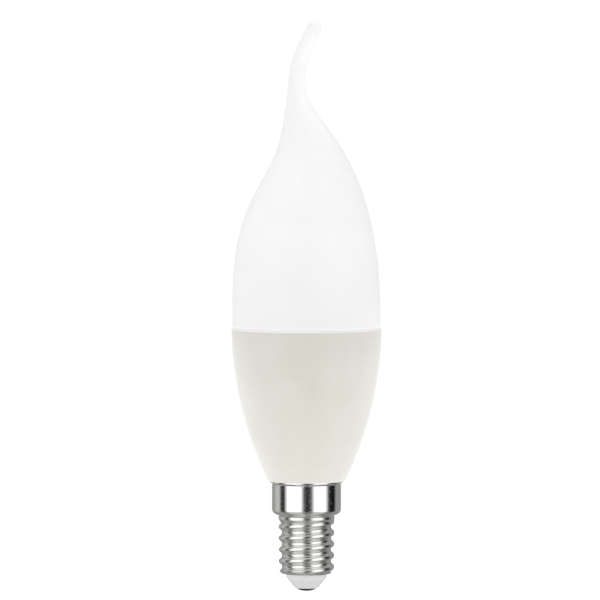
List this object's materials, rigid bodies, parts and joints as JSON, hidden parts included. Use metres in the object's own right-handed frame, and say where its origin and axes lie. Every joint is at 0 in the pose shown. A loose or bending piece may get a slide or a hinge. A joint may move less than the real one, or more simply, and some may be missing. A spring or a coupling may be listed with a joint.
{
  "type": "candle bulb",
  "caption": "Frosted candle bulb with a bent flame tip, a tapered housing and a small Edison screw cap, for holders of chandeliers and wall lights.",
  "frame": {"origin": "on the lamp axis, at the face of the centre contact", "axes": "+Z along the lamp axis from the cap to the flame tip; the tip bends in the XZ plane and points towards +X"},
  "size_m": [0.037, 0.037, 0.1404],
  "materials": {
    "opal_plastic": "fine satin, frosted white all through",
    "housing_plastic": "smooth satin cream moulding",
    "plated_metal": "bright nickel plate on rolled sheet",
    "insulator_plastic": "smooth pale moulding",
    "contact_metal": "dull grey metal button"
  },
  "bodies": {
    "root": {"diffuser": "opal_plastic", "housing": "housing_plastic", "screw_shell": "plated_metal", "insulator": "insulator_plastic", "centre_contact": "contact_metal"}
  },
  "joints": []
}
